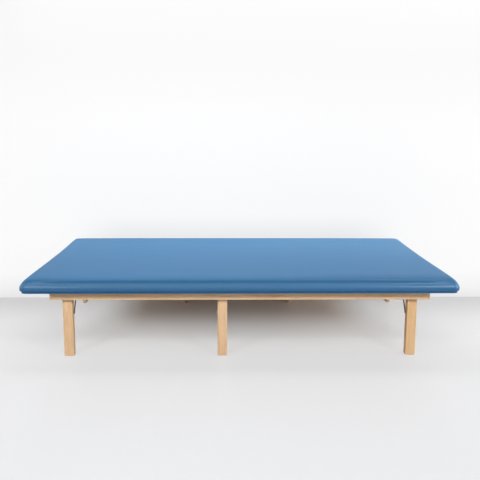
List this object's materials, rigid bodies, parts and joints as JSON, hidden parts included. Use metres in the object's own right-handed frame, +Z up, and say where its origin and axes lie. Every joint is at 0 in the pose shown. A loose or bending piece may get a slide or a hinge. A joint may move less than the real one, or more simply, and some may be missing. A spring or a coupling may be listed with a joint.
{
  "type": "folding therapy table",
  "caption": "Padded vinyl mat on a framed plywood board that hinges up from a low wooden base at a wall; wooden front legs on steel stays fold flat under it",
  "frame": {"origin": "on the floor, at the middle of the length and of the whole depth from the mat's front to the wall", "axes": "+X along the platform to the right as one faces its front, +Y from the front to the wall, +Z up"},
  "size_m": [2.1598, 1.2419, 0.4142],
  "materials": {
    "vinyl": "blue upholstery vinyl, smooth and satin with a very fine grain",
    "birch": "pale birch, planed, edges eased, clear satin lacquer",
    "plywood": "birch plywood, sanded, unlacquered underside",
    "steel": "bright zinc-plated steel, satin"
  },
  "bodies": {
    "base": {"upright_left": "birch", "upright_inner_left": "birch", "upright_inner_right": "birch", "upright_right": "birch", "hinge_rail": "birch", "wall_ledger": "birch", "fold_hinge_left_rail_leaf": "steel", "fold_hinge_middle_rail_leaf": "steel", "fold_hinge_right_rail_leaf": "steel"},
    "platform": {"mat": "vinyl", "cover_hem": "vinyl", "platform_board": "plywood", "front_rail": "birch", "rear_rail": "birch", "end_rail_left": "birch", "end_rail_right": "birch", "joist_left": "birch", "joist_right": "birch", "fold_hinge_left_board_leaf": "steel", "fold_hinge_left_pin": "steel", "fold_hinge_middle_board_leaf": "steel", "fold_hinge_middle_pin": "steel", "fold_hinge_right_board_leaf": "steel", "fold_hinge_right_pin": "steel", "leg_left_board_leaf": "steel", "leg_left_hinge_pin": "steel", "leg_left_stay_bracket": "steel", "leg_left_stay_rivet": "steel", "leg_middle_board_leaf": "steel", "leg_middle_hinge_pin": "steel", "leg_middle_stay_bracket": "steel", "leg_middle_stay_rivet": "steel", "leg_right_board_leaf": "steel", "leg_right_hinge_pin": "steel", "leg_right_stay_bracket": "steel", "leg_right_stay_rivet": "steel"},
    "leg_left": {"leg_left": "birch", "leg_left_hinge_leaf": "steel", "leg_left_stay_bolt": "steel"},
    "leg_middle": {"leg_middle": "birch", "leg_middle_hinge_leaf": "steel", "leg_middle_stay_bolt": "steel"},
    "leg_right": {"leg_right": "birch", "leg_right_hinge_leaf": "steel", "leg_right_stay_bolt": "steel"},
    "stay_lower_left": {"leg_left_stay_lower": "steel", "leg_left_elbow_rivet": "steel"},
    "stay_upper_left": {"leg_left_stay_upper": "steel", "leg_left_elbow_cap": "steel"},
    "stay_lower_middle": {"leg_middle_stay_lower": "steel", "leg_middle_elbow_rivet": "steel"},
    "stay_upper_middle": {"leg_middle_stay_upper": "steel", "leg_middle_elbow_cap": "steel"},
    "stay_lower_right": {"leg_right_stay_lower": "steel", "leg_right_elbow_rivet": "steel"},
    "stay_upper_right": {"leg_right_stay_upper": "steel", "leg_right_elbow_cap": "steel"}
  },
  "joints": [
    {"name": "platform_fold", "type": "hinge", "parent": "base", "child": "platform", "pos_m": [0, 0.511, 0.3285], "axis": [-1, 0, 0], "range_deg": [0, 90]},
    {"name": "leg_left_fold", "type": "hinge", "parent": "platform", "child": "leg_left", "pos_m": [-0.855, -0.5177, 0.3285], "axis": [1, 0, 0], "range_deg": [0, 90]},
    {"name": "leg_middle_fold", "type": "hinge", "parent": "platform", "child": "leg_middle", "pos_m": [-0.091, -0.5177, 0.3285], "axis": [1, 0, 0], "range_deg": [0, 90]},
    {"name": "leg_right_fold", "type": "hinge", "parent": "platform", "child": "leg_right", "pos_m": [0.855, -0.5177, 0.3285], "axis": [1, 0, 0], "range_deg": [0, 90]},
    {"name": "stay_upper_left_turn", "type": "hinge", "parent": "platform", "child": "stay_upper_left", "pos_m": [-0.8258, -0.4527, 0.316], "axis": [1, 0, 0], "range_deg": [-52.2, 0]},
    {"name": "stay_lower_left_turn", "type": "hinge", "parent": "leg_left", "child": "stay_lower_left", "pos_m": [-0.8305, -0.5302, 0.2165], "axis": [1, 0, 0], "range_deg": [0, 38]},
    {"name": "stay_upper_middle_turn", "type": "hinge", "parent": "platform", "child": "stay_upper_middle", "pos_m": [-0.1202, -0.4527, 0.316], "axis": [1, 0, 0], "range_deg": [-52.2, 0]},
    {"name": "stay_lower_middle_turn", "type": "hinge", "parent": "leg_middle", "child": "stay_lower_middle", "pos_m": [-0.1155, -0.5302, 0.2165], "axis": [1, 0, 0], "range_deg": [0, 38]},
    {"name": "stay_upper_right_turn", "type": "hinge", "parent": "platform", "child": "stay_upper_right", "pos_m": [0.8258, -0.4527, 0.316], "axis": [1, 0, 0], "range_deg": [-52.2, 0]},
    {"name": "stay_lower_right_turn", "type": "hinge", "parent": "leg_right", "child": "stay_lower_right", "pos_m": [0.8305, -0.5302, 0.2165], "axis": [1, 0, 0], "range_deg": [0, 38]}
  ],
  "couplings": [
    {"joint": "stay_upper_left_turn", "follows": "leg_left_fold", "ratio": -0.57872},
    {"joint": "stay_lower_left_turn", "follows": "leg_left_fold", "ratio": 0.42128},
    {"joint": "stay_upper_middle_turn", "follows": "leg_middle_fold", "ratio": -0.57872},
    {"joint": "stay_lower_middle_turn", "follows": "leg_middle_fold", "ratio": 0.42128},
    {"joint": "stay_upper_right_turn", "follows": "leg_right_fold", "ratio": -0.57872},
    {"joint": "stay_lower_right_turn", "follows": "leg_right_fold", "ratio": 0.42128}
  ]
}
